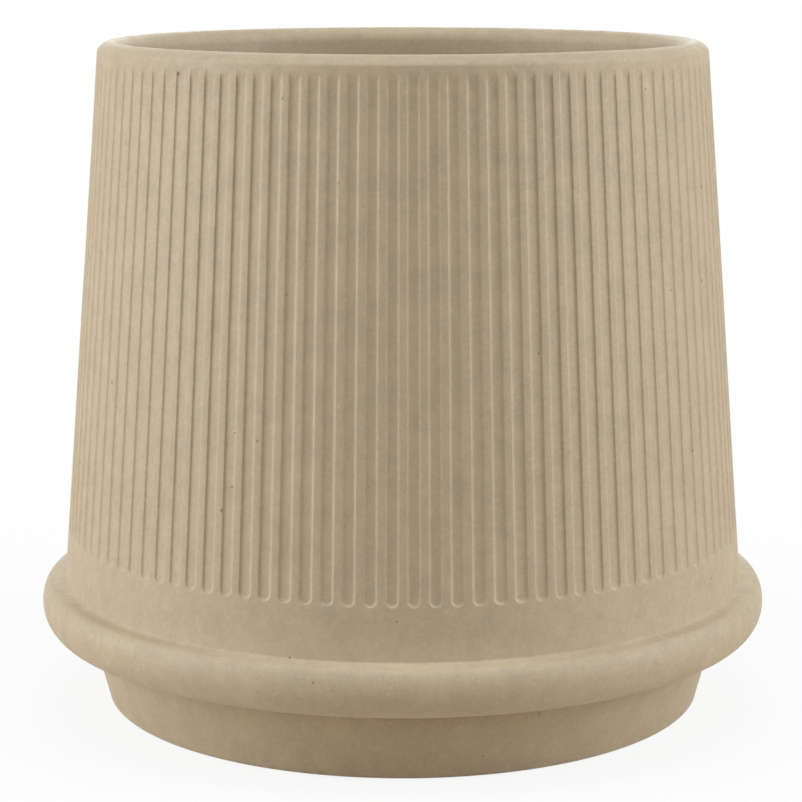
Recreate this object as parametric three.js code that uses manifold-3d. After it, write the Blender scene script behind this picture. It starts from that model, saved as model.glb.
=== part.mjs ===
// A fluted ceramic flower pot on its saucer.
// Millimetres, +Z up. The origin is on the pot's axis, on the surface that the felt pads stand on.

import * as THREE from 'three';
import { mergeVertices } from 'three/addons/utils/BufferGeometryUtils.js';
import Module from 'manifold-3d';

const wasm = await Module();
wasm.setup();

// Whole object
const overallHeight = 158.5;
const seatGap = 0.3; // left between two pieces that touch

// Wall of the pot
const rimRadius = 71.95; // outside, where the straight wall meets the lip
const wallThickness = 5.6;
const wallAngle = THREE.MathUtils.degToRad(4.69); // the wall flares outwards towards the bottom
const lipOuterRise = 2.2; // height of the lip's rounding on the outside
const lipOuterReach = 2.9; // depth of that rounding, from the wall to the lip's crest
const lipInnerRise = 3.5; // height of the rounding on the inside, which takes up the rest of the wall

// Flutes, sunk into the wall
const fluteCount = 108;
const fluteWidth = 2.4; // half way up the wall, and in step with the wall's girth elsewhere
const fluteDepth = 0.35;
const fluteTopMargin = 4.9; // from the top of the lip to the flutes
const fluteFootMargin = 12.3; // from the roll to the flutes

// Roll round the pot
const rollHeight = 11.6;
const rollProud = 5.7; // how far it stands out from the wall
const rollUpperRound = 5.2; // height of the rounding above its widest line
const rollUpperReach = 2.4; // depth of that rounding
const rollLowerReach = 5; // depth of the rounding below the widest line

// Base of the pot, which stands in the saucer
const floorThickness = 6;
const footRingHeight = 5.2;
const footRingWidth = 6.9;
const baseCornerRound = 2.5;
const ledgeThickness = 6; // of the step between the wall and the base
const ledgeWallRound = 7;
const ledgeEdgeRound = 1.5;
const floorCornerRound = 3;
const drainRadius = 10;
const notchCount = 4; // let water out from under the floor
const notchWidth = 10;
const notchHeight = 2.4;

// Saucer
const saucerHeight = 16.9;
const saucerWall = 4.4;
const saucerFloor = 4.7;
const saucerLean = THREE.MathUtils.degToRad(12); // its side leans in towards the bottom
const saucerCornerRound = 1;
const saucerInnerRound = 2;
const rollOverhang = 12; // how far the roll reaches out past the saucer's rim
const rimClearance = 0.8; // between the roll and the saucer's rim
const baseClearance = 1.3; // between the pot's base and the inside of the saucer

// Drain plug
const plugClearance = 0.4; // all round in the drain hole
const plugTaper = 0.6; // how much narrower the stem is at its tip
const plugTipInset = 0.4; // the tip stays this far inside the hole
const plugLap = 3.5; // how far the head reaches past the hole
const plugHeadHeight = 2.4;
const plugHeadRound = 0.8;
const tabWidth = 12;
const tabHeight = 9;
const tabThickness = 3.2;

// Felt pads
const padCount = 4;
const padRadius = 6;
const padThickness = 2;
const padInset = 8.23; // from the saucer's outer edge to the pad's centre
const pocketDepth = 2;
const pocketClearance = 0.3;

// Fineness of the round shapes; the pot has one flat side for each flute
const fluteEndSides = 3;
const saucerSides = 72;
const plugSides = 32;
const padSides = 24;

// Heights that follow
const saucerBottom = padThickness + seatGap - pocketDepth;
const saucerFloorTop = saucerBottom + saucerFloor;
const saucerTop = saucerBottom + saucerHeight;
const baseBottom = saucerFloorTop + seatGap;
const floorUnder = baseBottom + footRingHeight;
const floorTop = floorUnder + floorThickness;
const rollUnder = saucerTop + rimClearance;
const rollTop = rollUnder + rollHeight;
const rollWidest = rollTop - rollUpperRound;
const ledgeTop = rollUnder + ledgeThickness;
const wallTop = overallHeight - lipOuterRise;
const innerWallTop = overallHeight - lipInnerRise;
const wallMiddle = (rollTop + wallTop) / 2;

// Radii that follow
const wallRadius = (z) => rimRadius + Math.tan(wallAngle) * (wallTop - z);
const innerRadius = (z) => wallRadius(z) - wallThickness;
const lipCrest = rimRadius - lipOuterReach;
const lipInnerReach = lipCrest - innerRadius(innerWallTop);
const rollRadius = wallRadius(rollTop) + rollProud;
const saucerRadius = (z) => rollRadius - rollOverhang - Math.tan(saucerLean) * (saucerTop - z);
const saucerInner = (z) => saucerRadius(z) - saucerWall;
const baseRadius = (z) => saucerInner(z) - baseClearance;
const baseInner = baseRadius(rollUnder) - wallThickness;
const footRingInner = baseRadius(baseBottom) - footRingWidth;

// Points of an elliptic arc in a profile, where x is the radius and y the height.
// Angles are in degrees, from outwards, and turn upwards.
function arc(centreX, centreY, reach, rise, startAngle, endAngle, steps) {
  const points = [];
  for (let i = 0; i <= steps; i += 1) {
    const angle = THREE.MathUtils.degToRad(startAngle + ((endAngle - startAngle) * i) / steps);
    points.push(new THREE.Vector2(centreX + reach * Math.cos(angle), centreY + rise * Math.sin(angle)));
  }
  return points;
}

const point = (x, y) => new THREE.Vector2(x, y);

// A solid for cutting and joining, from a closed geometry.
function toSolid(geometry) {
  const bare = geometry.clone();
  bare.deleteAttribute('normal');
  bare.deleteAttribute('uv');
  const merged = mergeVertices(bare);
  return new wasm.Manifold(
    new wasm.Mesh({
      numProp: 3,
      vertProperties: merged.attributes.position.array,
      triVerts: new Uint32Array(merged.index.array),
    }),
  );
}

function toGeometry(solid) {
  const mesh = solid.getMesh();
  const geometry = new THREE.BufferGeometry();
  geometry.setAttribute('position', new THREE.BufferAttribute(mesh.vertProperties, 3));
  geometry.setIndex(new THREE.BufferAttribute(mesh.triVerts, 1));
  geometry.computeVertexNormals();
  return geometry;
}

// A profile turned about the Z axis.
function turned(profile, sides) {
  return new THREE.LatheGeometry(profile, sides).rotateX(Math.PI / 2);
}

function ceramic(color) {
  return new THREE.MeshStandardMaterial({ color, roughness: 0.85, metalness: 0, flatShading: true });
}

// The pot's closed profile, anticlockwise: up the outside, over the lip and down the inside.
// The straight wall runs from the point wallStart to the next one.
function potProfile() {
  const outsideBase = [
    point(footRingInner, baseBottom),
    ...arc(
      baseRadius(baseBottom) - baseCornerRound,
      baseBottom + baseCornerRound,
      baseCornerRound,
      baseCornerRound,
      -90,
      0,
      2,
    ),
    point(baseRadius(rollUnder), rollUnder),
  ];
  const roll = [
    ...arc(rollRadius - rollLowerReach, rollWidest, rollLowerReach, rollWidest - rollUnder, -90, 0, 5),
    ...arc(rollRadius - rollUpperReach, rollWidest, rollUpperReach, rollUpperRound, 0, 90, 3).slice(1),
    point(wallRadius(rollTop), rollTop),
  ];
  const lip = [
    ...arc(lipCrest, wallTop, lipOuterReach, lipOuterRise, 0, 90, 3),
    ...arc(lipCrest, innerWallTop, lipInnerReach, lipInnerRise, 90, 180, 4).slice(1),
  ];
  const wallRoundHeight = ledgeTop + ledgeWallRound;
  const inside = [
    ...arc(
      innerRadius(wallRoundHeight) - ledgeWallRound,
      wallRoundHeight,
      ledgeWallRound,
      ledgeWallRound,
      0,
      -90,
      3,
    ),
    ...arc(
      baseInner + ledgeEdgeRound,
      ledgeTop - ledgeEdgeRound,
      ledgeEdgeRound,
      ledgeEdgeRound,
      90,
      180,
      2,
    ),
    ...arc(
      baseInner - floorCornerRound,
      floorTop + floorCornerRound,
      floorCornerRound,
      floorCornerRound,
      0,
      -90,
      2,
    ),
    point(drainRadius, floorTop),
    point(drainRadius, floorUnder),
    point(footRingInner, floorUnder),
  ];
  const wallStart = outsideBase.length + roll.length - 1;
  return { profile: [...outsideBase, ...roll, ...lip, ...inside, outsideBase[0].clone()], wallStart };
}

// Where one flute's cell of the wall lies: X along the girth, Y up the slope and Z straight out.
// The wall is turned with one flat side for each flute, and the first flat side starts at the front.
function cellFrame(cell) {
  const halfTurn = Math.PI / fluteCount;
  return new THREE.Matrix4()
    .makeRotationZ((2 * cell + 1) * halfTurn)
    .multiply(new THREE.Matrix4().makeTranslation(0, -wallRadius(wallMiddle) * Math.cos(halfTurn), wallMiddle))
    .multiply(new THREE.Matrix4().makeRotationX(Math.PI / 2 - wallAngle));
}

// The outline of one flute in its cell, anticlockwise, with a round end at the foot and at the top.
function fluteOutline() {
  const upSlope = (z) => (z - wallMiddle) / Math.cos(wallAngle);
  const halfWidth = (z) => (fluteWidth / 2) * (wallRadius(z) / wallRadius(wallMiddle));
  const foot = rollTop + fluteFootMargin;
  const top = overallHeight - fluteTopMargin;
  const footRadius = halfWidth(foot);
  const topRadius = halfWidth(top);
  return [
    ...arc(0, upSlope(top) - topRadius, topRadius, topRadius, 0, 180, fluteEndSides),
    ...arc(0, upSlope(foot) + footRadius, footRadius, footRadius, 180, 360, fluteEndSides),
  ];
}

// The outline of a cell of the wall, seen in its frame.
function cellOutline() {
  const halfTurn = Math.PI / fluteCount;
  const halfSlope = (wallTop - rollTop) / 2 / Math.cos(wallAngle);
  const foot = wallRadius(rollTop) * Math.sin(halfTurn);
  const top = rimRadius * Math.sin(halfTurn);
  return [point(-foot, -halfSlope), point(foot, -halfSlope), point(top, halfSlope), point(-top, halfSlope)];
}

// Takes the plain wall out of the turned pot, between two neighbouring points of its profile,
// and puts a cell with a flute in each flat side.
function fluteTheWall(pot, profileLength, wallStart) {
  const positions = Array.from(pot.attributes.position.array);
  const faces = [];
  const corners = pot.index.array;
  const cornersPerStep = 6;
  for (let i = 0; i < corners.length; i += 1) {
    const step = Math.floor(i / cornersPerStep) % (profileLength - 1);
    if (step !== wallStart) faces.push(corners[i]);
  }
  const flute = fluteOutline();
  const land = THREE.ShapeUtils.triangulateShape(cellOutline(), [flute]);
  const floor = THREE.ShapeUtils.triangulateShape(flute, []);
  for (let cell = 0; cell < fluteCount; cell += 1) {
    const frame = cellFrame(cell);
    const left = cell * profileLength + wallStart;
    const right = left + profileLength;
    const edge = positions.length / 3;
    const sunk = edge + flute.length;
    for (const depth of [0, fluteDepth]) {
      for (const place of flute) {
        positions.push(...new THREE.Vector3(place.x, place.y, -depth).applyMatrix4(frame).toArray());
      }
    }
    const landCorners = [left, right, right + 1, left + 1, ...flute.map((_, k) => edge + k)];
    for (const face of land) faces.push(...face.map((k) => landCorners[k]));
    for (const face of floor) faces.push(...face.map((k) => sunk + k));
    for (let k = 0; k < flute.length; k += 1) {
      const next = (k + 1) % flute.length;
      faces.push(edge + k, edge + next, sunk + next);
      faces.push(edge + k, sunk + next, sunk + k);
    }
  }
  const fluted = new THREE.BufferGeometry();
  fluted.setAttribute('position', new THREE.Float32BufferAttribute(positions, 3));
  fluted.setIndex(faces);
  return fluted;
}

function flutedPot() {
  const { profile, wallStart } = potProfile();
  let pot = toSolid(fluteTheWall(turned(profile, fluteCount), profile.length, wallStart));
  const notchLength = 3 * footRingWidth;
  for (let i = 0; i < notchCount; i += 1) {
    const notch = new THREE.BoxGeometry(notchLength, notchWidth, 2 * notchHeight)
      .translate(baseRadius(baseBottom) - footRingWidth / 2, 0, baseBottom)
      .rotateZ((i * 2 * Math.PI) / notchCount);
    pot = pot.subtract(toSolid(notch));
  }
  const mesh = new THREE.Mesh(toGeometry(pot), ceramic(0xbfae90));
  mesh.name = 'fluted_pot';
  return mesh;
}

// Places that the four pads and their pockets share.
function padPlaces() {
  const ringRadius = saucerRadius(saucerBottom) - padInset;
  const places = [];
  for (let i = 0; i < padCount; i += 1) {
    const angle = ((i + 0.5) * 2 * Math.PI) / padCount;
    places.push(point(ringRadius * Math.cos(angle), ringRadius * Math.sin(angle)));
  }
  return places;
}

// A disc with its lower face at the given height.
function disc(radius, height, bottom) {
  return new THREE.CylinderGeometry(radius, radius, height, padSides)
    .rotateX(Math.PI / 2)
    .translate(0, 0, bottom + height / 2);
}

function saucer() {
  const rimRound = saucerWall / 2;
  const profile = [
    point(0, saucerBottom),
    ...arc(
      saucerRadius(saucerBottom) - saucerCornerRound,
      saucerBottom + saucerCornerRound,
      saucerCornerRound,
      saucerCornerRound,
      -90,
      0,
      3,
    ),
    ...arc(saucerRadius(saucerTop) - rimRound, saucerTop - rimRound, rimRound, rimRound, 0, 180, 5),
    ...arc(
      saucerInner(saucerFloorTop) - saucerInnerRound,
      saucerFloorTop + saucerInnerRound,
      saucerInnerRound,
      saucerInnerRound,
      0,
      -90,
      2,
    ),
    point(0, saucerFloorTop),
  ];
  let dish = toSolid(turned(profile, saucerSides));
  const pocket = disc(padRadius + pocketClearance, 2 * pocketDepth, saucerBottom - pocketDepth);
  for (const place of padPlaces()) {
    dish = dish.subtract(toSolid(pocket.clone().translate(place.x, place.y, 0)));
  }
  const mesh = new THREE.Mesh(toGeometry(dish), ceramic(0xb8a687));
  mesh.name = 'saucer';
  return mesh;
}

function drainPlug() {
  const stemRadius = drainRadius - plugClearance;
  const headRadius = drainRadius + plugLap;
  const headBottom = floorTop + seatGap;
  const headTop = headBottom + plugHeadHeight;
  const profile = [
    point(0, floorUnder + plugTipInset),
    point(stemRadius - plugTaper, floorUnder + plugTipInset),
    point(stemRadius, headBottom),
    point(headRadius, headBottom),
    ...arc(headRadius - plugHeadRound, headTop - plugHeadRound, plugHeadRound, plugHeadRound, 0, 90, 2),
    point(0, headTop),
  ];
  const outline = new THREE.Shape();
  outline.moveTo(-tabWidth / 2, -plugHeadHeight / 2);
  outline.lineTo(tabWidth / 2, -plugHeadHeight / 2);
  outline.lineTo(tabWidth / 2, tabHeight - tabWidth / 2);
  outline.absarc(0, tabHeight - tabWidth / 2, tabWidth / 2, 0, Math.PI, false);
  const tab = new THREE.ExtrudeGeometry(outline, {
    depth: tabThickness,
    bevelEnabled: false,
    curveSegments: 4,
  })
    .translate(0, 0, -tabThickness / 2)
    .rotateX(Math.PI / 2)
    .translate(0, 0, headTop);
  const plug = toSolid(turned(profile, plugSides)).add(toSolid(tab));
  const rubber = new THREE.MeshStandardMaterial({
    color: 0x2b2b2b,
    roughness: 0.7,
    metalness: 0,
    flatShading: true,
  });
  const mesh = new THREE.Mesh(toGeometry(plug), rubber);
  mesh.name = 'drain_plug';
  return mesh;
}

function footPads() {
  const felt = new THREE.MeshStandardMaterial({
    color: 0x8c7f6c,
    roughness: 1,
    metalness: 0,
    flatShading: true,
  });
  return padPlaces().map((place, i) => {
    const mesh = new THREE.Mesh(disc(padRadius, padThickness, 0), felt);
    mesh.position.set(place.x, place.y, 0);
    mesh.name = `foot_pad_${i + 1}`;
    return mesh;
  });
}

const flowerPot = new THREE.Group();
flowerPot.name = 'flower_pot';
flowerPot.add(flutedPot(), saucer(), drainPlug(), ...footPads());

export default flowerPot;
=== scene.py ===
"""A fluted ceramic flower pot on its saucer, dressed around its CAD frame.

Shapes are worked out in millimetres in the frame's own axes and made in metres, as the studio is.
"""

import math

import bpy
from mathutils import Euler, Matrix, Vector, noise
from mathutils.geometry import tessellate_polygon


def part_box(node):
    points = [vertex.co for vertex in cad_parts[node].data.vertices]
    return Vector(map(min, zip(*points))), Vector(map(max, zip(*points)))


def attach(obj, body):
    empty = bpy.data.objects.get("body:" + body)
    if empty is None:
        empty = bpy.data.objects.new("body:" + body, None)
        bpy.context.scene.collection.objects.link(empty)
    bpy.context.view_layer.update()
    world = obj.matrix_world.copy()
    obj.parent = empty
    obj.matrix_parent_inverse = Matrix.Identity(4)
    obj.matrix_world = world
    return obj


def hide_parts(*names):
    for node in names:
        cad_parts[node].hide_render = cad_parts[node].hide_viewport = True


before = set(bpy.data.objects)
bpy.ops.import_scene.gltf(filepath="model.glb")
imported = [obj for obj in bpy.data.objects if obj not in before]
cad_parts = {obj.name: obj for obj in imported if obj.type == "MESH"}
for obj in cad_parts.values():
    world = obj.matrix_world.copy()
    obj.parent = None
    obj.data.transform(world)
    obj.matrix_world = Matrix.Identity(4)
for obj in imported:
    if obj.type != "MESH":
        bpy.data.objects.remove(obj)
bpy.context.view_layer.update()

MM = 0.001
FRONT = -math.pi / 2  # the camera's side, as an angle round the pot's axis
NEAR_AXIS = 1.0  # points closer to the axis than this stay where they are
SAME_PLACE = 1e-6
LONGEST_STEP = 7.0  # between the points of a profile's straight stretches


def span(node):
    """A CAD node's lowest and highest corner, in millimetres."""
    low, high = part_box(node)
    return Vector(low) / MM, Vector(high) / MM


pot_low, pot_high = span("fluted_pot")
saucer_low, saucer_high = span("saucer")
plug_low, plug_high = span("drain_plug")

# Insets that keep the dressed surfaces inside the CAD box
TOP_INSET = 0.08
ROLL_INSET = 0.14
SAUCER_INSET = 0.05
PLUG_INSET = 0.05

# Wall of the pot
TOP = pot_high.z - TOP_INSET
WALL_THICKNESS = 5.6
WALL_ANGLE = math.radians(4.69)
RIM_RADIUS = 71.95
LIP_OUTER_RISE = 2.2  # the lip slopes down to the outside, with rounded corners
LIP_OUTER_REACH = 2.9
LIP_SLOPE_FLATNESS = 1.4  # 1 would be a straight slope and 2 an elliptic rounding
LIP_INNER_RISE = 3.5
WALL_TOP = TOP - LIP_OUTER_RISE

# Flutes
FLUTES = 108
FLUTE_HALF = 1.3  # from a flute's middle to where its side is steepest
FLUTE_EDGE = 0.22  # beyond that, its edge rounds into the wall over this width
FLUTE_DEPTH = 0.41
FLUTE_FLATNESS = 5  # 2 would hollow a flute out like a parabola, more gives it a flatter floor
FLUTE_LOOPS = (1.54, 1.45, 1.37, 1.3, 1.21, 1.08, 0.88, 0.5)  # from its middle to each loop of points
FLUTE_TOP = 155.2
FLUTE_FADE = 3.2  # a flute reaches its full depth this far below its top
FLUTE_FOOT = 41.9
PLAIN_ROWS = 12  # of points along a flute's full depth
FADE_ROWS = 7  # of points where it fades out
BORDER_STEPS = 3  # columns of the plain rings for each flute
END_STEPS = 2 * (BORDER_STEPS + 2)  # round a flute's end
TOP_END_RISE = 0.25  # of a flute's round end at its top, as a share of its half width
LAND_MARGIN = 0.7  # from a flute's end to the first plain ring

# Roll round the pot
ROLL_RADIUS = pot_high.x - ROLL_INSET
ROLL_TOP = 29.45
ROLL_WIDEST = 24.4
ROLL_UNDER = 18.0
ROLL_UPPER_REACH = 2.6
ROLL_LOWER_REACH = 5.0
CREASE_RISE = 0.7
CREASE_REACH = 1.9

# Base of the pot
BASE_BOTTOM = pot_low.z
BASE_TOP_RADIUS = 70.5
BASE_BOTTOM_RADIUS = 67.8
BASE_CORNER = 2.5
FOOT_RING_INNER = 60.9
FLOOR_UNDER = 10.5
FLOOR_TOP = 16.5
BASE_INNER = 64.9
LEDGE_TOP = 24.0
LEDGE_ROUND = 7.0
LEDGE_EDGE = 1.5
FLOOR_CORNER = 3.0
SMALL_EDGE = 0.8
DRAIN_RADIUS = 10.0
NOTCHES = 4
NOTCH_WIDTH = 10.0
NOTCH_HEIGHT = 2.4
NOTCH_SLOPE = 1.2

# Saucer
SAUCER_BOTTOM = saucer_low.z
SAUCER_TOP = saucer_high.z
SAUCER_RIM = saucer_high.x - SAUCER_INSET
SAUCER_WALL = 4.4
SAUCER_LEAN = math.radians(12)
SAUCER_FLOOR = 4.7
SAUCER_CORNER = 1.0
SAUCER_INNER_ROUND = 2.0
SAUCER_CENTRE = 18.0  # radius of the floor's flat middle
SAUCER_COLUMNS = 288
FLAT_BORDER = 0.25  # a level border keeps the roundings out of the underside's shading

# Pockets under the saucer, with a section from the underside over a rounded edge to the pocket's floor
POCKET_RADIUS = 6.3
POCKET_DEPTH = 2.0
POCKET_EDGE = 0.3
POCKET_SECTION = (  # distance out from the pocket's side, and depth
    (POCKET_EDGE + FLAT_BORDER, 0),
    (POCKET_EDGE, 0),
    (0.1, 0.1),
    (0, 0.35),
    (0, POCKET_DEPTH),
)
POCKET_COLUMNS = 48

# Felt pads
PAD_NUMBERS = range(1, 5)
PAD_RADIUS = 6.0
PAD_EDGE = 0.45
PAD_CENTRE = 1.5  # radius of the flat middle
PAD_COLUMNS = 72
FRAY = 0.22
FRAY_WIDTH = 1.5
FRAY_INSET = 0.55  # draws the frayed edge inwards, as a share of the fray
FRAY_PER_MM = 1.9
FRAY_SEED = 9

# Waviness of the cast clay: slow changes of radius, with fainter and faster ones on top
SLOW_WAVE_PER_MM = 0.012
FAST_WAVE_PER_MM = 0.055
FAST_WAVE_SHARE = 0.35
POT_WAVE = 0.12
POT_SEED = 3.1
SAUCER_WAVE = 0.08
SAUCER_SEED = 40.7

# Drain plug's stem and head
PLUG_TIP = plug_low.z
PLUG_TIP_ROUND = 0.9
PLUG_STEM_TIP = 8.9  # radius of the stem at its tip
PLUG_STEM_TOP = 9.45
PLUG_RIB_HEIGHT = 2.6  # from the tip to the middle of the rib round the stem
PLUG_RIB_INSET = 0.25
PLUG_RIB_REACH = 0.55
PLUG_RIB_RISE = 0.7
PLUG_NECK_HEIGHT = 4.2
PLUG_NECK_INSET = 0.2
PLUG_SEAT_GAP = 0.3
PLUG_HEAD_HEIGHT = 2.4
PLUG_HEAD_BOTTOM = FLOOR_TOP + PLUG_SEAT_GAP
PLUG_HEAD_TOP = PLUG_HEAD_BOTTOM + PLUG_HEAD_HEIGHT
PLUG_HEAD_RADIUS = 13.45
PLUG_HEAD_EDGE = 0.5
PLUG_HEAD_ROUND = 1.0
PLUG_DISH = 0.4  # depth of the head's dish, under its rim
PLUG_DISH_ROUND = 1.2
PLUG_DISH_BORDER = 3.2
PLUG_COLUMNS = 128

# Drain plug's tab
TAB_WIDTH = 11.9
TAB_THICKNESS = 2.3
TAB_BEAD = 0.42
TAB_WEB_INSET = 0.25
TAB_ROOT = 1.2  # how deep the tab reaches into the head
TAB_EDGE_FLAT = 0.55  # share of the bead's thickness that is flat at the tab's edge
TAB_BEAD_ROUND = ((0.25, 0.3), (0.9, 0.12))  # in from the tab's edge, and down from the bead's face
TAB_WEB_ROUND = ((1.7, 0.1), (2.3, 0))  # in from the tab's edge, and up from the web's face
PLUG_VOXEL = 0.24
PLUG_SOFTENING = 0.5
PLUG_SOFTENING_ROUNDS = 4

# Colours
POT_COLOUR = (0.57, 0.46, 0.31)
SAUCER_COLOUR = (0.56, 0.45, 0.295)
RUBBER_COLOUR = (0.022, 0.022, 0.024)
RUBBER_DUST = (0.06, 0.057, 0.052)
FELT_DARK = (0.17, 0.14, 0.105)
FELT_LIGHT = (0.34, 0.29, 0.22)
FELT_PATCH = (0.22, 0.19, 0.15)
WHITE = (1, 1, 1)

# What the ceramic's colour is multiplied by in its different places
PINKISH = (1.0, 0.994, 1.024)
YELLOWISH = (1.0, 1.006, 0.976)
DARKER = (0.9, 0.9, 0.9)
LIGHTER = (1.1, 1.1, 1.1)
BLOTCH = (1.08, 1.1, 1.17)
SPECKLE = (1.25, 1.25, 1.25)
# painted shade: darkens the colour inside the pits to stand in for the shade in them
PIT_SHADE = (0.6, 0.55, 0.48)

# Reliefs of the surfaces
SWELL = 0.06
GRAIN = 0.04
PIT_DEPTH = 0.12
RUBBER_GRAIN = 0.03
FELT_NAP = 0.12

# Pits of the ceramic: spacing of their cells, size as a share of it, and the share of cells without one
PITS = ((12.0, 0.05, 0.5), (6.0, 0.06, 0.7))
PIT_CORE = 0.4  # share of a pit that has its full depth

# Floor and backdrop, in metres
FLOOR_LIGHT = (0.66, 0.57, 0.47)  # the floor's colour to the light that it sends up to the pot
FLOOR_DROP = 0.0001  # so that the floor never coincides with the pads
FLOOR_HALF_WIDTH = 5
FLOOR_FRONT = -2.5
BACKDROP_FOOT = 2.0
BACKDROP_BEND = 1.5
BACKDROP_TOP = 5
SHADOW_NEAR = 0.1  # the pot's shadow shows most up to this far out, and not at all beyond SHADOW_FAR
SHADOW_FAR = 0.5
NEAR_WHITENESS = 0.88  # share of plain white in the floor where the shadow shows most

# Light and camera, in metres
WORLD_LIGHT = (0.05, 0.035, 0.02)
LAMP_COLOUR = (0.93, 0.99, 1.045)
POT_MIDDLE = 0.08  # the height that the lamps point at
CAMERA_PLACE = (-0.00045, -0.5930, 0.1858)
CAMERA_PITCH = 0.1909
CAMERA_LENS = 111.4  # millimetres, as the sensor's width
CAMERA_SENSOR = 36


def wall_radius(z):
    return RIM_RADIUS + math.tan(WALL_ANGLE) * (WALL_TOP - z)


def inner_radius(z):
    return wall_radius(z) - WALL_THICKNESS


def around(radius, angle, height):
    """A point round the axis."""
    return Vector((radius * math.cos(angle), radius * math.sin(angle), height))


def arc(centre, reach, rise, start, end, steps):
    """Points (radius, height) of an elliptic arc between two angles in degrees.

    At 0 a point is outwards from the centre, and at 90 above it.
    """
    points = []
    for i in range(steps + 1):
        angle = math.radians(start + (end - start) * i / steps)
        points.append((centre[0] + reach * math.cos(angle), centre[1] + rise * math.sin(angle)))
    return points


def rounding(centre, radius, start, end, steps):
    """Points of a circular arc."""
    return arc(centre, radius, radius, start, end, steps)


def lip_slope(crest, steps):
    """Points from the lip's crest down its outer slope to the wall."""
    points = []
    for i in range(steps + 1):
        angle = math.pi / 2 * (1 - i / steps)
        out = max(0, math.cos(angle)) ** (2 / LIP_SLOPE_FLATNESS)
        up = math.sin(angle) ** (2 / LIP_SLOPE_FLATNESS)
        points.append((crest + LIP_OUTER_REACH * out, WALL_TOP + LIP_OUTER_RISE * up))
    return points


def line(start, end, steps):
    """Points between two profile points, without the two themselves."""
    return [
        (start[0] + (end[0] - start[0]) * i / steps, start[1] + (end[1] - start[1]) * i / steps)
        for i in range(1, steps)
    ]


def joined(*runs):
    """One profile from several runs of points, with straight lines in short steps between them."""
    profile = list(runs[0])
    for run in runs[1:]:
        gap = math.dist(profile[-1], run[0])
        if gap > SAME_PLACE:
            profile += line(profile[-1], run[0], max(1, round(gap / LONGEST_STEP)))
            profile += run
        else:
            profile += run[1:]
    return profile


def smooth_step(t):
    """From 0 to 1 with level ends."""
    return t * t * (3 - 2 * t)


class Skin:
    """The points and faces of one surface, gathered ring by ring."""

    def __init__(self):
        self.points = []
        self.faces = []

    def add(self, point):
        self.points.append(point)
        return len(self.points) - 1

    def ring(self, radius, height, columns):
        """A level ring of points, anticlockwise from the front."""
        angles = [FRONT + 2 * math.pi * i / columns for i in range(columns)]
        return [self.add(around(radius, angle, height)) for angle in angles]

    def band(self, first, second):
        """Faces between two rings. They face outwards where the profile goes up on the outside."""
        count = len(first)
        for i in range(count):
            j = (i + 1) % count
            self.faces.append((first[i], first[j], second[j], second[i]))

    def turn(self, profile, columns):
        """Rings along a profile, with the bands between them."""
        rings = [self.ring(radius, height, columns) for radius, height in profile]
        for first, second in zip(rings, rings[1:]):
            self.band(first, second)
        return rings

    def close(self, ring, height, facing_up):
        """Fills a ring with a fan round a point on the axis."""
        middle = self.add(Vector((0, 0, height)))
        for first, second in zip(ring, ring[1:] + ring[:1]):
            self.faces.append((first, second, middle) if facing_up else (second, first, middle))

    def build(self, name):
        """A smooth-shaded object from the points, which are in millimetres."""
        mesh = bpy.data.meshes.new(name)
        mesh.from_pydata([point * MM for point in self.points], [], self.faces)
        mesh.validate()
        mesh.polygons.foreach_set("use_smooth", [True] * len(mesh.polygons))
        piece = bpy.data.objects.new(name, mesh)
        bpy.context.scene.collection.objects.link(piece)
        return piece


# Fluted pot


def lower_profile():
    """From the ring under the flutes' feet down over the roll and round the base to the drain hole."""
    land = FLUTE_FOOT - LAND_MARGIN
    crease_height = ROLL_TOP + CREASE_RISE
    crease_radius = wall_radius(crease_height) + CREASE_REACH
    upper_centre = (ROLL_RADIUS - ROLL_UPPER_REACH, ROLL_WIDEST)
    lower_centre = (ROLL_RADIUS - ROLL_LOWER_REACH, ROLL_WIDEST)
    return joined(
        [(wall_radius(land), land)],
        arc((crease_radius, crease_height), CREASE_REACH, CREASE_RISE, 180, 270, 6),
        arc(upper_centre, ROLL_UPPER_REACH, ROLL_TOP - ROLL_WIDEST, 90, 0, 10),
        arc(lower_centre, ROLL_LOWER_REACH, ROLL_WIDEST - ROLL_UNDER, 0, -90, 12),
        rounding((BASE_TOP_RADIUS + SMALL_EDGE, ROLL_UNDER - SMALL_EDGE), SMALL_EDGE, 90, 180, 3),
        rounding((BASE_BOTTOM_RADIUS - BASE_CORNER, BASE_BOTTOM + BASE_CORNER), BASE_CORNER, 0, -90, 5),
        rounding((FOOT_RING_INNER + SMALL_EDGE, BASE_BOTTOM + SMALL_EDGE), SMALL_EDGE, -90, -180, 3),
        rounding((FOOT_RING_INNER - SMALL_EDGE, FLOOR_UNDER - SMALL_EDGE), SMALL_EDGE, 0, 90, 3),
        rounding((DRAIN_RADIUS + SMALL_EDGE, FLOOR_UNDER + SMALL_EDGE), SMALL_EDGE, 270, 180, 3),
    )


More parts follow.
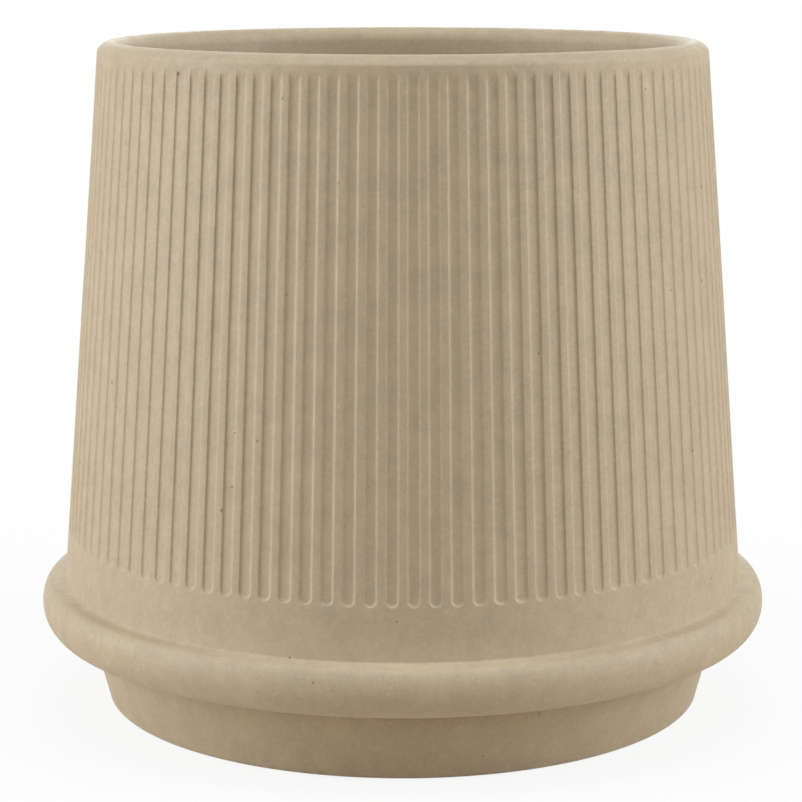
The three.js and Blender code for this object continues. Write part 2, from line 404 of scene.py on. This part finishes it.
def upper_profile():
    """From the drain hole over the floor, up the inside, over the lip and down to the flutes' tops."""
    land = FLUTE_TOP + LAND_MARGIN
    ledge_height = LEDGE_TOP + LEDGE_ROUND
    lip_crest = RIM_RADIUS - LIP_OUTER_REACH
    inner_top = TOP - LIP_INNER_RISE
    inner_reach = lip_crest - inner_radius(inner_top)
    return joined(
        rounding((DRAIN_RADIUS + SMALL_EDGE, FLOOR_TOP - SMALL_EDGE), SMALL_EDGE, 180, 90, 3),
        rounding((BASE_INNER - FLOOR_CORNER, FLOOR_TOP + FLOOR_CORNER), FLOOR_CORNER, -90, 0, 4),
        rounding((BASE_INNER + LEDGE_EDGE, LEDGE_TOP - LEDGE_EDGE), LEDGE_EDGE, 180, 90, 3),
        rounding((inner_radius(ledge_height) - LEDGE_ROUND, ledge_height), LEDGE_ROUND, -90, 0, 6),
        arc((lip_crest, inner_top), inner_reach, LIP_INNER_RISE, 180, 90, 9),
        lip_slope(lip_crest, 12),
        [(wall_radius(land), land)],
    )


def flute_section(reach):
    """How deep a flute is at a distance from its middle: a scoop that is steepest near its edge."""
    steepest = FLUTE_DEPTH / (FLUTE_EDGE / 2 + FLUTE_HALF / FLUTE_FLATNESS)
    if reach >= FLUTE_HALF:
        t = max(0, FLUTE_HALF + FLUTE_EDGE - reach) / FLUTE_EDGE
        return steepest * FLUTE_EDGE / 2 * t * t
    hollow = FLUTE_HALF / FLUTE_FLATNESS * (1 - (reach / FLUTE_HALF) ** FLUTE_FLATNESS)
    return steepest * (FLUTE_EDGE / 2 + hollow)


def faded(depth, height):
    """A depth in the flute's section, less towards the flute's top, where it fades out."""
    return depth * smooth_step(min(1, max(0, (FLUTE_TOP - height) / FLUTE_FADE)))


def flute_rows():
    """Heights of the rows along a flute's sides, closer together where it fades out."""
    fade_start = FLUTE_TOP - FLUTE_FADE
    foot = FLUTE_FOOT + FLUTE_HALF
    rows = [foot + (fade_start - foot) * i / PLAIN_ROWS for i in range(PLAIN_ROWS)]
    rows += [fade_start + FLUTE_FADE * i / FADE_ROWS for i in range(FADE_ROWS + 1)]
    return rows


def flute_loop(skin, centre, reach):
    """A loop of points in a flute at a distance from its middle: up the right side and down the left."""
    middle_radius = wall_radius((FLUTE_TOP + FLUTE_FOOT) / 2)
    depth = flute_section(reach)
    rows = flute_rows()
    turns = [math.pi * i / END_STEPS for i in range(1, END_STEPS)]
    right = [(reach, height) for height in rows]
    over = [(reach * math.cos(a), rows[-1] + TOP_END_RISE * reach * math.sin(a)) for a in turns]
    left = [(-reach, height) for height in reversed(rows)]
    under = [(-reach * math.cos(a), rows[0] - reach * math.sin(a)) for a in turns]
    loop = []
    for across, height in right + over + left + under:
        radius = wall_radius(height) - faded(depth, height)
        loop.append(skin.add(around(radius, centre + across / middle_radius, height)))
    return loop


def add_flute(skin, cell, borders, foot_ring, top_ring):
    """One flute and the land round it, between two border columns and the plain rings."""
    pitch = 2 * math.pi / FLUTES
    centre = FRONT + (cell + 0.5) * pitch
    loops = [flute_loop(skin, centre, reach) for reach in FLUTE_LOOPS]
    for outer, inner in zip(loops, loops[1:]):
        skin.band(outer, inner)

    # The floor of the flute
    inner = loops[-1]
    count = len(flute_rows())
    left_start = count + END_STEPS - 1
    left_end = left_start + count - 1
    for i in range(count - 1):
        k = left_end - i
        skin.faces.append((inner[k], inner[i], inner[i + 1], inner[k - 1]))
    skin.faces.append(tuple(inner[count - 1 : left_start + 1]))
    skin.faces.append(tuple(inner[left_end:]) + (inner[0],))

    # The land on both sides
    outer = loops[0]
    left_border, right_border = borders
    for i in range(count - 1):
        k = left_end - i
        skin.faces.append((outer[i], right_border[i], right_border[i + 1], outer[i + 1]))
        skin.faces.append((left_border[i], outer[k], outer[k - 1], left_border[i + 1]))

    # The land over the top and under the foot
    start_column = cell * BORDER_STEPS
    columns = [(start_column + i) % len(top_ring) for i in range(BORDER_STEPS + 1)]
    over = [right_border[-1]] + [top_ring[k] for k in reversed(columns)] + [left_border[-1]]
    under = [left_border[0]] + [foot_ring[k] for k in columns] + [right_border[0]]
    closed = outer + [outer[0]]
    for border, start in ((over, count - 1), (under, left_end)):
        for i in range(len(border) - 1):
            first, second, third = closed[start + 2 * i : start + 2 * i + 3]
            skin.faces.append((first, border[i], border[i + 1], third, second))


def cut_notches(skin):
    """Lifts the foot ring's points at the drain notches."""
    turn = 2 * math.pi / NOTCHES
    for point in skin.points:
        radius = math.hypot(point.x, point.y)
        if point.z > FLOOR_UNDER or radius < FOOT_RING_INNER - SMALL_EDGE:
            continue
        angle = math.atan2(point.y, point.x)
        across = abs(radius * math.sin(angle - turn * round(angle / turn)))
        share = min(1, max(0, (NOTCH_WIDTH / 2 + NOTCH_SLOPE / 2 - across) / NOTCH_SLOPE))
        lift = NOTCH_HEIGHT * smooth_step(share)
        point.z += lift * (FLOOR_UNDER - point.z) / (FLOOR_UNDER - BASE_BOTTOM)


def make_uneven(skin, seed, strength):
    """Gives the points of cast clay their slight waviness."""
    for point in skin.points:
        place = point + Vector((seed, 0, 0))
        wave = noise.noise(place * SLOW_WAVE_PER_MM)
        wave += FAST_WAVE_SHARE * noise.noise(place * FAST_WAVE_PER_MM)
        radius = math.hypot(point.x, point.y)
        if radius > NEAR_AXIS:
            share = 1 + strength * wave / radius
            point.x *= share
            point.y *= share


def border_column(skin, cell):
    """A column of points on the wall, half way between two flutes."""
    angle = FRONT + 2 * math.pi * cell / FLUTES
    return [skin.add(around(wall_radius(height), angle, height)) for height in flute_rows()]


def fluted_pot():
    """The turned shell, with the flutes in the wall between its two plain rings."""
    columns = FLUTES * BORDER_STEPS
    skin = Skin()
    lower = skin.turn(list(reversed(lower_profile())), columns)
    upper = skin.turn(list(reversed(upper_profile())), columns)
    foot_ring, top_ring = lower[-1], upper[0]
    skin.band(upper[-1], lower[0])
    borders = [border_column(skin, cell) for cell in range(FLUTES)]
    for cell in range(FLUTES):
        add_flute(skin, cell, (borders[cell], borders[(cell + 1) % FLUTES]), foot_ring, top_ring)
    cut_notches(skin)
    make_uneven(skin, POT_SEED, POT_WAVE)
    return skin.build("pot_shell")


# Saucer


def saucer_radius(z):
    return SAUCER_RIM - math.tan(SAUCER_LEAN) * (SAUCER_TOP - z)


def saucer():
    """A turned dish, from its underside's border up over the rim and down to the middle of its floor."""
    floor_top = SAUCER_BOTTOM + SAUCER_FLOOR
    rim = SAUCER_WALL / 2
    bottom_radius = saucer_radius(SAUCER_BOTTOM)
    inner_corner = saucer_radius(floor_top) - SAUCER_WALL
    outer_centre = (bottom_radius - SAUCER_CORNER, SAUCER_BOTTOM + SAUCER_CORNER)
    inner_centre = (inner_corner - SAUCER_INNER_ROUND, floor_top + SAUCER_INNER_ROUND)
    profile = joined(
        [(outer_centre[0] - FLAT_BORDER, SAUCER_BOTTOM)],
        rounding(outer_centre, SAUCER_CORNER, -90, 0, 5),
        rounding((saucer_radius(SAUCER_TOP) - rim, SAUCER_TOP - rim), rim, 0, 180, 12),
        rounding(inner_centre, SAUCER_INNER_ROUND, 0, -90, 5),
        [(SAUCER_CENTRE, floor_top)],
    )
    skin = Skin()
    rings = skin.turn(profile, SAUCER_COLUMNS)
    skin.close(rings[-1], floor_top, True)
    add_underside(skin, rings[0])
    make_uneven(skin, SAUCER_SEED, SAUCER_WAVE)
    return skin.build("saucer_dish")


def pad_place(number):
    """The middle of a felt pad, seen from above."""
    low, high = span(f"foot_pad_{number}")
    return (low.x + high.x) / 2, (low.y + high.y) / 2


def add_pocket(skin, number):
    """A pocket for a felt pad, and its outer loop of points in the saucer's underside."""
    x, y = pad_place(number)
    loops = []
    for outset, depth in POCKET_SECTION:
        middle = Vector((x, y, SAUCER_BOTTOM + depth))
        angles = [2 * math.pi * i / POCKET_COLUMNS for i in range(POCKET_COLUMNS)]
        loops.append([skin.add(middle + around(POCKET_RADIUS + outset, angle, 0)) for angle in angles])
    for outer, inner in zip(loops, loops[1:]):
        skin.band(inner, outer)
    skin.faces.append(tuple(reversed(loops[-1])))
    return loops[0]


def add_underside(skin, bottom_ring):
    """The flat underside, round a pocket for each felt pad."""
    outlines = [bottom_ring] + [add_pocket(skin, number) for number in PAD_NUMBERS]
    flat = [index for outline in outlines for index in outline]
    corners = [[skin.points[index] for index in outline] for outline in outlines]
    for triangle in tessellate_polygon(corners):
        a, b, c = (flat[k] for k in triangle)
        facing = (skin.points[b] - skin.points[a]).cross(skin.points[c] - skin.points[a]).z
        skin.faces.append((a, c, b) if facing > 0 else (a, b, c))


# Felt pads


def felt_pad(number):
    """A disc with rounded and slightly frayed edges."""
    low, high = span(f"foot_pad_{number}")
    x, y = pad_place(number)
    profile = joined(
        [(PAD_CENTRE, low.z)],
        rounding((PAD_RADIUS - PAD_EDGE, low.z + PAD_EDGE), PAD_EDGE, -90, 0, 4),
        rounding((PAD_RADIUS - PAD_EDGE, high.z - PAD_EDGE), PAD_EDGE, 0, 90, 4),
        [(PAD_CENTRE, high.z)],
    )
    skin = Skin()
    rings = skin.turn(profile, PAD_COLUMNS)
    skin.close(rings[0], low.z, False)
    skin.close(rings[-1], high.z, True)
    seed = Vector((FRAY_SEED * number, 0, 0))
    for point in skin.points:
        radius = math.hypot(point.x, point.y)
        share = max(0, (radius - PAD_RADIUS + FRAY_WIDTH) / FRAY_WIDTH)
        fray = FRAY * share * (noise.noise(point * FRAY_PER_MM + seed) - FRAY_INSET)
        if radius > 0:
            point.x *= 1 + fray / radius
            point.y *= 1 + fray / radius
        point.x += x
        point.y += y
    return skin.build(f"felt_pad_{number}")


# Drain plug


def plug_body():
    """The turned stem with a rib, and the head with a shallow dish round the tab."""
    neck = PLUG_TIP + PLUG_NECK_HEIGHT
    dish = PLUG_HEAD_TOP - PLUG_DISH
    tip_centre = (PLUG_STEM_TIP - PLUG_TIP_ROUND, PLUG_TIP + PLUG_TIP_ROUND)
    rib_centre = (PLUG_STEM_TOP - PLUG_RIB_INSET, PLUG_TIP + PLUG_RIB_HEIGHT)
    edge_centre = (PLUG_HEAD_RADIUS - PLUG_HEAD_EDGE, PLUG_HEAD_BOTTOM + PLUG_HEAD_EDGE)
    head_centre = (PLUG_HEAD_RADIUS - PLUG_HEAD_ROUND, PLUG_HEAD_TOP - PLUG_HEAD_ROUND)
    dish_centre = (PLUG_HEAD_RADIUS - PLUG_DISH_BORDER, dish + PLUG_DISH_ROUND)
    profile = joined(
        rounding(tip_centre, PLUG_TIP_ROUND, -90, 0, 4),
        arc(rib_centre, PLUG_RIB_REACH, PLUG_RIB_RISE, -80, 80, 6),
        [(PLUG_STEM_TOP - PLUG_NECK_INSET, neck), (PLUG_STEM_TOP, PLUG_HEAD_BOTTOM)],
        rounding(edge_centre, PLUG_HEAD_EDGE, -90, 0, 3),
        rounding(head_centre, PLUG_HEAD_ROUND, 0, 110, 6),
        rounding(dish_centre, PLUG_DISH_ROUND, -60, -90, 3),
    )
    skin = Skin()
    rings = skin.turn(profile, PLUG_COLUMNS)
    skin.close(rings[0], PLUG_TIP, False)
    skin.close(rings[-1], dish, True)
    return skin


def tab_outline(inset):
    """The tab's outline from its foot up over its round top, in the tab's own plane."""
    half = TAB_WIDTH / 2 - inset
    top = plug_high.z - PLUG_INSET - inset
    shoulder = top - half
    foot = PLUG_HEAD_TOP - TAB_ROOT + inset
    return [(-half, foot), (half, foot)] + rounding((0, shoulder), half, 0, 180, 24)


def plug_tab():
    """The pull tab: a flat web inside a thicker bead."""
    thick = TAB_THICKNESS / 2 + TAB_BEAD
    web = TAB_THICKNESS / 2 - TAB_WEB_INSET

    # Distance in from the tab's edge, and out from its middle plane
    front_half = [(0, thick * TAB_EDGE_FLAT)]
    front_half += [(inset, thick - down) for inset, down in TAB_BEAD_ROUND]
    front_half += [(inset, web + up) for inset, up in TAB_WEB_ROUND]
    back_half = [(inset, -out) for inset, out in reversed(front_half)]
    skin = Skin()
    loops = []
    for inset, y in back_half + front_half:
        loops.append([skin.add(Vector((x, y, z))) for x, z in tab_outline(inset)])
    for first, second in zip(loops, loops[1:]):
        skin.band(second, first)
    skin.faces.append(tuple(loops[0]))
    skin.faces.append(tuple(reversed(loops[-1])))
    return skin


def drain_plug():
    """Stem, head and tab moulded into one rubber piece."""
    parts = Skin()
    for part in (plug_body(), plug_tab()):
        shift = len(parts.points)
        parts.points += part.points
        parts.faces += [tuple(shift + k for k in face) for face in part.faces]
    piece = parts.build("rubber_plug")
    remesh = piece.modifiers.new("moulded", "REMESH")
    remesh.mode = "VOXEL"
    remesh.voxel_size = PLUG_VOXEL * MM
    remesh.use_smooth_shade = True
    soften = piece.modifiers.new("softened", "SMOOTH")
    soften.factor = PLUG_SOFTENING
    soften.iterations = PLUG_SOFTENING_ROUNDS
    applied = piece.evaluated_get(bpy.context.evaluated_depsgraph_get())
    mesh = bpy.data.meshes.new_from_object(applied)
    piece.modifiers.clear()
    piece.data = mesh
    return piece


# Materials


def add_node(tree, kind, inputs=None, **settings):
    """A new node; an input is either a value or the output socket that feeds it."""
    node = tree.nodes.new(kind)
    for key, value in settings.items():
        setattr(node, key, value)
    for socket, value in (inputs or {}).items():
        if isinstance(value, bpy.types.NodeSocket):
            tree.links.new(value, node.inputs[socket])
        else:
            node.inputs[socket].default_value = value
    return node


def mixed(tree, share, first, second, blend="MIX"):
    """Two colours mixed; a colour is three numbers or a socket."""
    colours = [c if isinstance(c, bpy.types.NodeSocket) else (*c, 1) for c in (first, second)]
    inputs = {0: share, 6: colours[0], 7: colours[1]}
    return add_node(tree, "ShaderNodeMix", inputs, data_type="RGBA", blend_type=blend).outputs[2]


def tinted(base, tint):
    """A colour with each channel multiplied."""
    return tuple(channel * factor for channel, factor in zip(base, tint))


class Finish:
    """A procedural material on a Principled shader, in the piece's own coordinates in metres."""

    def __init__(self, name, roughness, specular):
        self.material = bpy.data.materials.new(name)
        self.material.use_nodes = True
        self.tree = self.material.node_tree
        self.shader = self.tree.nodes["Principled BSDF"]
        self.shader.inputs["Roughness"].default_value = roughness
        self.shader.inputs["Specular IOR Level"].default_value = specular
        self.place = add_node(self.tree, "ShaderNodeTexCoord").outputs["Object"]

    def noise(self, size, detail=2.0, roughness=0.5):
        """Noise from 0 to 1, with patches about this many millimetres across."""
        inputs = {"Vector": self.place, "Scale": 1 / (size * MM)}
        inputs |= {"Detail": detail, "Roughness": roughness}
        return add_node(self.tree, "ShaderNodeTexNoise", inputs).outputs[0]

    def cells(self, size, output):
        """An output of cells about this many millimetres across."""
        inputs = {"Vector": self.place, "Scale": 1 / (size * MM)}
        return add_node(self.tree, "ShaderNodeTexVoronoi", inputs).outputs[output]

    def remap(self, value, low, high, to_low=0.0, to_high=1.0):
        """A value between two limits, spread smoothly between two others."""
        inputs = {"Value": value, "From Min": low, "From Max": high, "To Min": to_low, "To Max": to_high}
        node = add_node(self.tree, "ShaderNodeMapRange", inputs, interpolation_type="SMOOTHSTEP")
        return node.outputs[0]

    def math(self, operation, first, second):
        node = add_node(self.tree, "ShaderNodeMath", {0: first, 1: second}, operation=operation)
        return node.outputs[0]

    def mix(self, share, first, second, blend="MIX"):
        return mixed(self.tree, share, first, second, blend)

    def set(self, socket, value):
        self.tree.links.new(value, self.shader.inputs[socket])

    def bump(self, height, depth, under=None):
        """A relief whose height 0 to 1 stands for this many millimetres."""
        inputs = {"Height": height, "Distance": depth * MM, "Strength": 1.0}
        if under is not None:
            inputs["Normal"] = under
        return add_node(self.tree, "ShaderNodeBump", inputs).outputs[0]


def ceramic(name, base):
    """Matt stoneware: pinkish and yellowish mottling, pale blotches, a fine grain and a few pits, whose
    colour is darkened with painted shade.
    """
    finish = Finish(name, roughness=0.6, specular=0.5)
    mottling = finish.remap(finish.noise(18, detail=7, roughness=0.9), low=0.36, high=0.64)
    colour = finish.mix(mottling, tinted(base, PINKISH), tinted(base, YELLOWISH))
    tone = finish.remap(finish.noise(9, detail=8, roughness=0.97), low=0.34, high=0.66)
    colour = finish.mix(1.0, colour, finish.mix(tone, DARKER, LIGHTER), "MULTIPLY")
    blotches = finish.noise(2.6, detail=3, roughness=0.6)
    blotches = finish.remap(blotches, low=0.54, high=0.68, to_high=0.55)
    colour = finish.mix(blotches, colour, tinted(base, BLOTCH))
    speckle = finish.noise(0.7, detail=2, roughness=0.6)
    speckle = finish.remap(speckle, low=0.57, high=0.74, to_high=0.5)
    colour = finish.mix(speckle, colour, tinted(base, SPECKLE))
    pit_relief_and_shade = pits(finish)
    # painted shade inside the pits, added to their shallow bump
    colour = finish.mix(pit_relief_and_shade, colour, tinted(base, PIT_SHADE))
    finish.set("Base Color", colour)
    matt = finish.remap(finish.noise(3), low=0.3, high=0.7, to_low=0.54, to_high=0.66)
    finish.set("Roughness", matt)
    swell = finish.bump(finish.noise(7, detail=3, roughness=0.7), SWELL)
    grain = finish.bump(finish.noise(0.9, detail=4, roughness=0.8), GRAIN, swell)
    finish.set("Normal", finish.bump(finish.math("SUBTRACT", 1.0, pit_relief_and_shade), PIT_DEPTH, grain))
    return finish.material


def pits(finish):
    """Small pits of two sizes, in only some of the cells."""
    layers = []
    for spacing, size, without in PITS:
        away = finish.cells(spacing, "Distance")
        near = finish.remap(away, low=size * PIT_CORE, high=size, to_low=1, to_high=0)
        colour = finish.cells(spacing, "Color")
        chosen = add_node(finish.tree, "ShaderNodeSeparateColor", {0: colour}).outputs[0]
        layers.append(finish.math("MULTIPLY", near, finish.math("GREATER_THAN", chosen, without)))
    return finish.math("MAXIMUM", *layers)


def rubber():
    """Dark satin moulded rubber with a dusty bloom."""
    finish = Finish("plug_rubber_skin", roughness=0.5, specular=0.4)
    dust = finish.noise(2.4, detail=4, roughness=0.6)
    dust = finish.remap(dust, low=0.45, high=0.75, to_high=0.5)
    finish.set("Base Color", finish.mix(dust, RUBBER_COLOUR, RUBBER_DUST))
    bloom = finish.remap(finish.noise(1.5, detail=3), low=0.3, high=0.7, to_low=0.45, to_high=0.68)
    finish.set("Roughness", bloom)
    finish.set("Normal", finish.bump(finish.noise(0.35, detail=3, roughness=0.6), RUBBER_GRAIN))
    return finish.material


def felt():
    """Pressed wool felt, mottled, with short fibres."""
    finish = Finish("pad_felt_skin", roughness=0.95, specular=0.1)
    fibres = finish.noise(0.35, detail=4, roughness=0.75)
    colour = finish.mix(finish.remap(fibres, low=0.35, high=0.7), FELT_DARK, FELT_LIGHT)
    patches = finish.remap(finish.noise(2.2), low=0.5, high=0.7, to_high=0.4)
    finish.set("Base Color", finish.mix(patches, colour, FELT_PATCH))
    finish.shader.inputs["Sheen Weight"].default_value = 0.4
    finish.shader.inputs["Sheen Roughness"].default_value = 0.6
    finish.set("Normal", finish.bump(fibres, FELT_NAP))
    return finish.material


def dress(piece, body, node, material):
    """Hangs a piece on its body in place of a CAD node."""
    piece.data.materials.clear()
    piece.data.materials.append(material)
    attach(piece, body)
    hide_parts(node)


dress(fluted_pot(), "pot", "fluted_pot", ceramic("pot_stoneware", POT_COLOUR))
dress(saucer(), "saucer", "saucer", ceramic("saucer_stoneware", SAUCER_COLOUR))
dress(drain_plug(), "plug", "drain_plug", rubber())
pad_skin = felt()
for number in PAD_NUMBERS:
    dress(felt_pad(number), "saucer", f"foot_pad_{number}", pad_skin)


# Floor, light and camera


def plain_light(tree, kind, colour):
    """A glowing shader of strength 1."""
    return add_node(tree, kind, {"Color": (*colour, 1), "Strength": 1.0}).outputs[0]


def seen_directly(tree):
    """1 for what the camera, a reflection or a clear material sees, and 0 for what lights the pot."""
    path = add_node(tree, "ShaderNodeLightPath").outputs
    seen = {0: path["Is Camera Ray"], 1: path["Is Glossy Ray"]}
    seen = add_node(tree, "ShaderNodeMath", seen, operation="MAXIMUM").outputs[0]
    seen = {0: seen, 1: path["Is Transmission Ray"]}
    return add_node(tree, "ShaderNodeMath", seen, operation="MAXIMUM").outputs[0]


def paper():
    """White where it is seen directly, but for the pot's shadow, and warm to the light on the pot."""
    material = bpy.data.materials.new("studio_paper")
    material.use_nodes = True
    tree = material.node_tree
    tree.nodes.clear()
    seen = seen_directly(tree)
    position = add_node(tree, "ShaderNodeNewGeometry").outputs["Position"]
    away = add_node(tree, "ShaderNodeVectorMath", {0: position}, operation="LENGTH").outputs["Value"]
    limits = {"From Min": SHADOW_NEAR, "From Max": SHADOW_FAR, "To Min": NEAR_WHITENESS}
    whiteness = add_node(tree, "ShaderNodeMapRange", {"Value": away, **limits}).outputs[0]
    share = add_node(tree, "ShaderNodeMath", {0: seen, 1: whiteness}, operation="MULTIPLY").outputs[0]
    colour = mixed(tree, seen, FLOOR_LIGHT, WHITE)
    matt = add_node(tree, "ShaderNodeBsdfDiffuse", {"Color": colour}).outputs[0]
    glow = plain_light(tree, "ShaderNodeEmission", WHITE)
    both = add_node(tree, "ShaderNodeMixShader", {0: share, 1: matt, 2: glow}).outputs[0]
    add_node(tree, "ShaderNodeOutputMaterial", {"Surface": both})
    return material


def studio_floor():
    """A pale floor that rises into a backdrop far behind."""
    bend = rounding((BACKDROP_FOOT, BACKDROP_BEND), BACKDROP_BEND, -90, 0, 12)
    section = [(FLOOR_FRONT, 0)] + bend + [(BACKDROP_FOOT + BACKDROP_BEND, BACKDROP_TOP)]
    skin = Skin()
    rows = []
    for y, z in section:
        ends = (-FLOOR_HALF_WIDTH, FLOOR_HALF_WIDTH)
        rows.append([skin.add(Vector((x, y, z - FLOOR_DROP)) / MM) for x in ends])
    for near, far in zip(rows, rows[1:]):
        skin.faces.append((near[0], near[1], far[1], far[0]))
    floor = skin.build("studio_floor")
    floor.data.materials.append(paper())


def studio_world():
    """White where it is seen directly, and a faint warm light on the pot."""
    world = bpy.data.worlds.new("studio")
    bpy.context.scene.world = world
    world.use_nodes = True
    tree = world.node_tree
    tree.nodes.clear()
    seen = seen_directly(tree)
    light = plain_light(tree, "ShaderNodeBackground", WORLD_LIGHT)
    white = plain_light(tree, "ShaderNodeBackground", WHITE)
    both = add_node(tree, "ShaderNodeMixShader", {0: seen, 1: light, 2: white}).outputs[0]
    add_node(tree, "ShaderNodeOutputWorld", {"Surface": both})


def softbox(name, turn, rise, distance, size, power):
    """A large lamp that points at the pot, turned to the camera's left and raised, in degrees."""
    turn, rise = math.radians(turn), math.radians(rise)
    out = distance * math.cos(rise)
    height = POT_MIDDLE + distance * math.sin(rise)
    place = Vector((-out * math.sin(turn), -out * math.cos(turn), height))
    lamp = bpy.data.lights.new(name, "AREA")
    lamp.shape = "RECTANGLE"
    lamp.size, lamp.size_y = size
    lamp.energy = power
    lamp.color = LAMP_COLOUR
    box = bpy.data.objects.new(name, lamp)
    box.location = place
    aim = Vector((0, 0, POT_MIDDLE)) - place
    box.rotation_euler = aim.to_track_quat("-Z", "Y").to_euler()
    bpy.context.scene.collection.objects.link(box)


def set_camera():
    """The camera at the photograph's angle."""
    lens = bpy.data.cameras.new("camera")
    lens.lens = CAMERA_LENS
    lens.sensor_width = CAMERA_SENSOR
    camera = bpy.data.objects.new("camera", lens)
    camera.location = CAMERA_PLACE
    camera.rotation_euler = Euler((math.pi / 2 - CAMERA_PITCH, 0, 0))
    bpy.context.scene.collection.objects.link(camera)
    bpy.context.scene.camera = camera


studio_floor()
studio_world()
softbox("softbox_left", turn=76, rise=19, distance=1.2, size=(0.8, 0.8), power=10.0)
softbox("softbox_right", turn=-75, rise=23, distance=1.2, size=(0.8, 0.8), power=9.0)
softbox("softbox_front", turn=0, rise=78, distance=1.3, size=(1.0, 0.6), power=6.5)
softbox("softbox_back", turn=180, rise=25, distance=1.3, size=(0.8, 0.8), power=6.0)
set_camera()
bpy.context.scene.view_settings.view_transform = "Standard"
